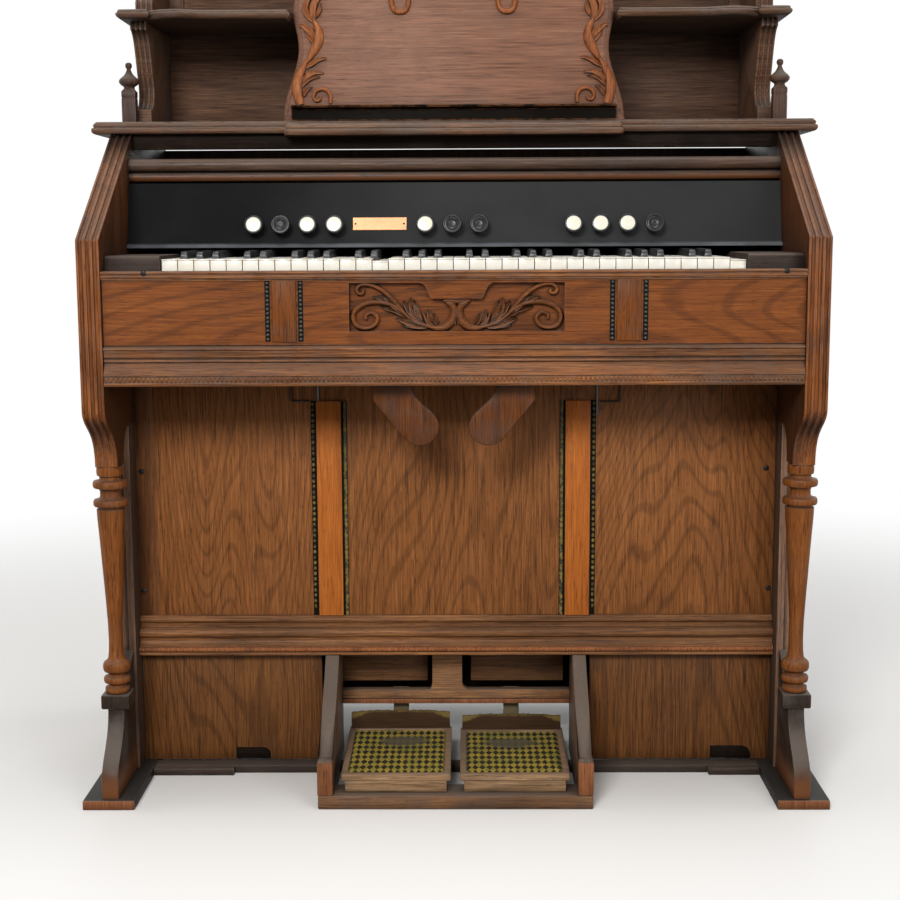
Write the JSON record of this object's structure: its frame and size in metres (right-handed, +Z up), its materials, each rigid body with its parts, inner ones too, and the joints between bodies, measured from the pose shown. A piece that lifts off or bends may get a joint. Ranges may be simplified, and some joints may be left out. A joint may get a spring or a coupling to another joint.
{
  "type": "pump organ",
  "caption": "High-backed oak reed organ with shelves, a music desk, pull stops, a keyboard, knee levers and two foot pedals.",
  "frame": {"origin": "centre of the bounding box in plan, on the floor", "axes": "+Z up, -Y towards the player, +X to the player's right"},
  "size_m": [1.117, 0.512, 1.6],
  "materials": {
    "oak": "satin stained oak",
    "worn_dark_oak": "satin dark oak worn at the edges",
    "light_oak": "satin stained oak",
    "ebonised_wood": "black, low gloss",
    "ivory_keys": "cream key tops",
    "pale_wood": "worn bare wood",
    "bellows_cloth": "rubberised cloth",
    "webbing": "woven strap"
  },
  "bodies": {
    "case": {"end_board_left": "oak", "end_board_right": "oak", "column_left": "light_oak", "column_right": "light_oak", "foot_left": "worn_dark_oak", "foot_right": "worn_dark_oak", "kick_panel_left": "oak", "kick_panel_right": "oak", "toe_board": "worn_dark_oak", "lower_rail": "oak", "lower_front_panel": "oak", "back_board": "oak", "key_bed": "worn_dark_oak", "keyslip": "light_oak", "main_shelf": "worn_dark_oak", "upper_end_left": "worn_dark_oak", "upper_end_right": "worn_dark_oak", "upper_shelf": "worn_dark_oak", "upper_back": "oak", "gallery": "oak", "finial_left": "worn_dark_oak", "finial_right": "worn_dark_oak", "music_desk": "oak", "stop_board": "ebonised_wood", "key_frame": "ivory_keys", "windchest": "pale_wood", "reservoir": "bellows_cloth", "pedal_frame": "worn_dark_oak", "strap_left": "webbing", "strap_right": "webbing"},
    "key_f": {"key_f": "ivory_keys"},
    "key_f_sharp": {"key_f_sharp": "ebonised_wood"},
    "key_g": {"key_g": "ivory_keys"},
    "key_g_sharp": {"key_g_sharp": "ebonised_wood"},
    "key_a": {"key_a": "ivory_keys"},
    "key_a_sharp": {"key_a_sharp": "ebonised_wood"},
    "key_b": {"key_b": "ivory_keys"},
    "key_c": {"key_c": "ivory_keys"},
    "key_c_sharp": {"key_c_sharp": "ebonised_wood"},
    "key_d": {"key_d": "ivory_keys"},
    "key_d_sharp": {"key_d_sharp": "ebonised_wood"},
    "key_e": {"key_e": "ivory_keys"},
    "stop_1": {"stop_1": "ebonised_wood"},
    "stop_2": {"stop_2": "ebonised_wood"},
    "stop_3": {"stop_3": "ebonised_wood"},
    "stop_4": {"stop_4": "ebonised_wood"},
    "stop_5": {"stop_5": "ebonised_wood"},
    "stop_6": {"stop_6": "ebonised_wood"},
    "stop_7": {"stop_7": "ebonised_wood"},
    "stop_8": {"stop_8": "ebonised_wood"},
    "stop_9": {"stop_9": "ebonised_wood"},
    "stop_10": {"stop_10": "ebonised_wood"},
    "stop_11": {"stop_11": "ebonised_wood"},
    "fallboard": {"fallboard": "worn_dark_oak"},
    "pedal_left": {"pedal_left": "pale_wood"},
    "pedal_right": {"pedal_right": "pale_wood"},
    "exhauster_left": {"exhauster_left": "pale_wood"},
    "exhauster_right": {"exhauster_right": "pale_wood"},
    "knee_lever_left": {"knee_lever_left": "oak"},
    "knee_lever_right": {"knee_lever_right": "oak"}
  },
  "joints": [
    {"name": "key_f_press", "type": "hinge", "parent": "case", "child": "key_f", "pos_m": [0, 0.028, 0.79], "axis": [1, 0, 0], "range_deg": [0, 2], "stiffness_Nm_per_rad": 2, "springref_deg": -8.02},
    {"name": "key_f_sharp_press", "type": "hinge", "parent": "case", "child": "key_f_sharp", "pos_m": [0, 0.028, 0.79], "axis": [1, 0, 0], "range_deg": [0, 2], "stiffness_Nm_per_rad": 2, "springref_deg": -8.02},
    {"name": "key_g_press", "type": "hinge", "parent": "case", "child": "key_g", "pos_m": [0, 0.028, 0.79], "axis": [1, 0, 0], "range_deg": [0, 2], "stiffness_Nm_per_rad": 2, "springref_deg": -8.02},
    {"name": "key_g_sharp_press", "type": "hinge", "parent": "case", "child": "key_g_sharp", "pos_m": [0, 0.028, 0.79], "axis": [1, 0, 0], "range_deg": [0, 2], "stiffness_Nm_per_rad": 2, "springref_deg": -8.02},
    {"name": "key_a_press", "type": "hinge", "parent": "case", "child": "key_a", "pos_m": [0, 0.028, 0.79], "axis": [1, 0, 0], "range_deg": [0, 2], "stiffness_Nm_per_rad": 2, "springref_deg": -8.02},
    {"name": "key_a_sharp_press", "type": "hinge", "parent": "case", "child": "key_a_sharp", "pos_m": [0, 0.028, 0.79], "axis": [1, 0, 0], "range_deg": [0, 2], "stiffness_Nm_per_rad": 2, "springref_deg": -8.02},
    {"name": "key_b_press", "type": "hinge", "parent": "case", "child": "key_b", "pos_m": [0, 0.028, 0.79], "axis": [1, 0, 0], "range_deg": [0, 2], "stiffness_Nm_per_rad": 2, "springref_deg": -8.02},
    {"name": "key_c_press", "type": "hinge", "parent": "case", "child": "key_c", "pos_m": [0, 0.028, 0.79], "axis": [1, 0, 0], "range_deg": [0, 2], "stiffness_Nm_per_rad": 2, "springref_deg": -8.02},
    {"name": "key_c_sharp_press", "type": "hinge", "parent": "case", "child": "key_c_sharp", "pos_m": [0, 0.028, 0.79], "axis": [1, 0, 0], "range_deg": [0, 2], "stiffness_Nm_per_rad": 2, "springref_deg": -8.02},
    {"name": "key_d_press", "type": "hinge", "parent": "case", "child": "key_d", "pos_m": [0, 0.028, 0.79], "axis": [1, 0, 0], "range_deg": [0, 2], "stiffness_Nm_per_rad": 2, "springref_deg": -8.02},
    {"name": "key_d_sharp_press", "type": "hinge", "parent": "case", "child": "key_d_sharp", "pos_m": [0, 0.028, 0.79], "axis": [1, 0, 0], "range_deg": [0, 2], "stiffness_Nm_per_rad": 2, "springref_deg": -8.02},
    {"name": "key_e_press", "type": "hinge", "parent": "case", "child": "key_e", "pos_m": [0, 0.028, 0.79], "axis": [1, 0, 0], "range_deg": [0, 2], "stiffness_Nm_per_rad": 2, "springref_deg": -8.02},
    {"name": "stop_1_draw", "type": "slide", "parent": "case", "child": "stop_1", "axis": [0, -0.9687, 0.2484], "range_m": [0, 0.03]},
    {"name": "stop_2_draw", "type": "slide", "parent": "case", "child": "stop_2", "axis": [0, -0.9687, 0.2484], "range_m": [0, 0.03]},
    {"name": "stop_3_draw", "type": "slide", "parent": "case", "child": "stop_3", "axis": [0, -0.9687, 0.2484], "range_m": [0, 0.03]},
    {"name": "stop_4_draw", "type": "slide", "parent": "case", "child": "stop_4", "axis": [0, -0.9687, 0.2484], "range_m": [0, 0.03]},
    {"name": "stop_5_draw", "type": "slide", "parent": "case", "child": "stop_5", "axis": [0, -0.9687, 0.2484], "range_m": [0, 0.03]},
    {"name": "stop_6_draw", "type": "slide", "parent": "case", "child": "stop_6", "axis": [0, -0.9687, 0.2484], "range_m": [0, 0.03]},
    {"name": "stop_7_draw", "type": "slide", "parent": "case", "child": "stop_7", "axis": [0, -0.9687, 0.2484], "range_m": [0, 0.03]},
    {"name": "stop_8_draw", "type": "slide", "parent": "case", "child": "stop_8", "axis": [0, -0.9687, 0.2484], "range_m": [0, 0.03]},
    {"name": "stop_9_draw", "type": "slide", "parent": "case", "child": "stop_9", "axis": [0, -0.9687, 0.2484], "range_m": [0, 0.03]},
    {"name": "stop_10_draw", "type": "slide", "parent": "case", "child": "stop_10", "axis": [0, -0.9687, 0.2484], "range_m": [0, 0.03]},
    {"name": "stop_11_draw", "type": "slide", "parent": "case", "child": "stop_11", "axis": [0, -0.9687, 0.2484], "range_m": [0, 0.03]},
    {"name": "fall_slide", "type": "slide", "parent": "case", "child": "fallboard", "axis": [0, -1, 0], "range_m": [0, 0.15]},
    {"name": "pedal_left_tread", "type": "hinge", "parent": "case", "child": "pedal_left", "pos_m": [0, -0.226, 0.0214], "axis": [1, 0, 0], "range_deg": [0, 13], "deforming": ["strap_left"]},
    {"name": "pedal_right_tread", "type": "hinge", "parent": "case", "child": "pedal_right", "pos_m": [0, -0.226, 0.0214], "axis": [1, 0, 0], "range_deg": [0, 13], "deforming": ["strap_right"]},
    {"name": "exhauster_left_swing", "type": "hinge", "parent": "case", "child": "exhauster_left", "pos_m": [0, 0.05, 0.446], "axis": [1, 0, 0], "range_deg": [0, 7.8]},
    {"name": "exhauster_right_swing", "type": "hinge", "parent": "case", "child": "exhauster_right", "pos_m": [0, 0.05, 0.446], "axis": [1, 0, 0], "range_deg": [0, 7.8]},
    {"name": "knee_lever_left_swing", "type": "hinge", "parent": "case", "child": "knee_lever_left", "pos_m": [-0.09, -0.214, 0.64], "axis": [0, 1, 0], "range_deg": [0, 25], "stiffness_Nm_per_rad": 0.6, "springref_deg": -14.32},
    {"name": "knee_lever_right_swing", "type": "hinge", "parent": "case", "child": "knee_lever_right", "pos_m": [0.09, -0.214, 0.64], "axis": [0, -1, 0], "range_deg": [0, 25], "stiffness_Nm_per_rad": 0.6, "springref_deg": -14.32}
  ],
  "couplings": [
    {"joint": "exhauster_left_swing", "follows": "pedal_left_tread", "ratio": 0.6},
    {"joint": "exhauster_right_swing", "follows": "pedal_right_tread", "ratio": 0.6}
  ]
}
